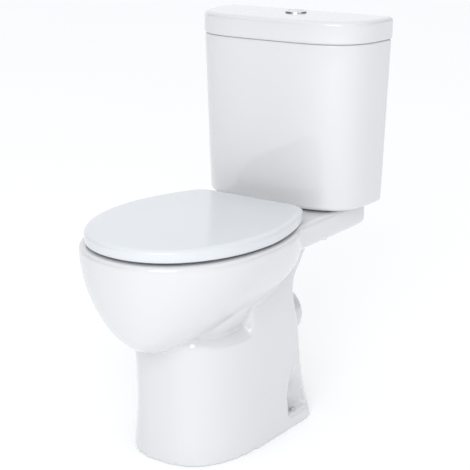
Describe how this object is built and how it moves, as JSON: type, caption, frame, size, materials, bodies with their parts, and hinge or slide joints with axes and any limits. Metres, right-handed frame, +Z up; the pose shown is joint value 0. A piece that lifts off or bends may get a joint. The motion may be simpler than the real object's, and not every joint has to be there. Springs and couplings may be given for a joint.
{
  "type": "close coupled toilet",
  "caption": "Close coupled toilet: rounded china pan on a waisted pedestal, bow-fronted cistern with lid and push button, hinged oval seat and cover, flush and fill valves.",
  "frame": {"origin": "on the floor, at the middle of the bounding box", "axes": "+Z up, +X across the toilet to its right-hand side seen from the wall, -Y out from the wall along the bowl towards its nose; the wall is at +Y"},
  "size_m": [0.372, 0.612, 0.7735],
  "materials": {
    "china": "glossy",
    "seat_plastic": "glossy",
    "chrome": "polished",
    "steel": "satin",
    "white_plastic": "satin",
    "blue_plastic": "satin",
    "rubber": "matte"
  },
  "bodies": {
    "toilet": {"pan": "china", "cistern": "china", "hinge_base_left": "chrome", "hinge_base_right": "chrome", "flush_valve_base": "white_plastic", "flush_valve_tower": "white_plastic", "flush_valve_washer": "rubber", "coupling_gasket": "rubber", "flush_back_nut": "white_plastic", "coupling_washer_left": "rubber", "coupling_washer_right": "rubber", "coupling_bolt_left": "steel", "coupling_bolt_right": "steel", "deck_washer_left": "rubber", "deck_washer_right": "rubber", "wing_nut_left": "white_plastic", "wing_nut_right": "white_plastic", "fill_valve_washer": "rubber", "fill_valve_body": "white_plastic", "fill_back_nut": "white_plastic", "fill_valve_cap": "white_plastic", "lever_pin": "steel", "seat_bolt_left": "steel", "seat_bolt_right": "steel", "seat_bung_left": "rubber", "seat_bung_right": "rubber", "anchor_nut_left": "steel", "anchor_nut_right": "steel", "floor_screw_left": "steel", "floor_screw_right": "steel", "floor_washer_left": "white_plastic", "floor_washer_right": "white_plastic"},
    "tank_lid": {"cistern_lid": "china", "button_bezel": "chrome", "bezel_nut": "white_plastic"},
    "full_button": {"full_flush_button": "chrome", "full_flush_rod": "white_plastic"},
    "half_button": {"half_flush_button": "chrome", "half_flush_rod": "white_plastic"},
    "full_actuator": {"full_flush_actuator": "blue_plastic"},
    "half_actuator": {"half_flush_actuator": "blue_plastic"},
    "flush_valve": {"flush_spindle": "blue_plastic", "flush_seal": "rubber"},
    "float": {"float_cup": "white_plastic"},
    "lever": {"float_lever": "blue_plastic"},
    "seat": {"seat_ring": "seat_plastic", "hinge_pin_left": "steel", "hinge_pin_right": "steel", "seat_buffer_front_left": "rubber", "seat_buffer_front_right": "rubber", "seat_buffer_rear_left": "rubber", "seat_buffer_rear_right": "rubber"},
    "cover": {"seat_cover": "seat_plastic", "cover_buffer_left": "rubber", "cover_buffer_right": "rubber"}
  },
  "joints": [
    {"name": "seat_hinge", "type": "hinge", "parent": "toilet", "child": "seat", "pos_m": [0, 0.0985, 0.4245], "axis": [1, 0, 0], "range_deg": [-94.5, 0]},
    {"name": "cover_hinge", "type": "hinge", "parent": "seat", "child": "cover", "pos_m": [0, 0.0985, 0.4245], "axis": [-1, 0, 0], "range_deg": [0, 94.5]},
    {"name": "tank_lid_lift", "type": "slide", "parent": "toilet", "child": "tank_lid", "axis": [0, 0, 1], "range_m": [0, 0.15]},
    {"name": "full_button_press", "type": "slide", "parent": "tank_lid", "child": "full_button", "axis": [0, 0, -1], "range_m": [0, 0.006], "stiffness_N_per_m": 250, "springref_m": -0.002},
    {"name": "half_button_press", "type": "slide", "parent": "tank_lid", "child": "half_button", "axis": [0, 0, -1], "range_m": [0, 0.006], "stiffness_N_per_m": 250, "springref_m": -0.002},
    {"name": "full_actuator_press", "type": "slide", "parent": "toilet", "child": "full_actuator", "axis": [0, 0, -1], "range_m": [0, 0.006]},
    {"name": "half_actuator_press", "type": "slide", "parent": "toilet", "child": "half_actuator", "axis": [0, 0, -1], "range_m": [0, 0.006]},
    {"name": "flush_valve_lift", "type": "slide", "parent": "toilet", "child": "flush_valve", "axis": [0, 0, 1], "range_m": [0, 0.024]},
    {"name": "float_drop", "type": "slide", "parent": "toilet", "child": "float", "axis": [0, 0, -1], "range_m": [0, 0.006]},
    {"name": "float_lever_tilt", "type": "hinge", "parent": "toilet", "child": "lever", "pos_m": [-0.112, 0.248, 0.686], "axis": [1, 0, 0], "range_deg": [0, 10.5]}
  ],
  "couplings": [
    {"joint": "full_actuator_press", "follows": "full_button_press", "ratio": 1},
    {"joint": "half_actuator_press", "follows": "half_button_press", "ratio": 1},
    {"joint": "flush_valve_lift", "follows": "full_button_press", "ratio": 4},
    {"joint": "float_lever_tilt", "follows": "float_drop", "rad_per_m": 29.851}
  ]
}
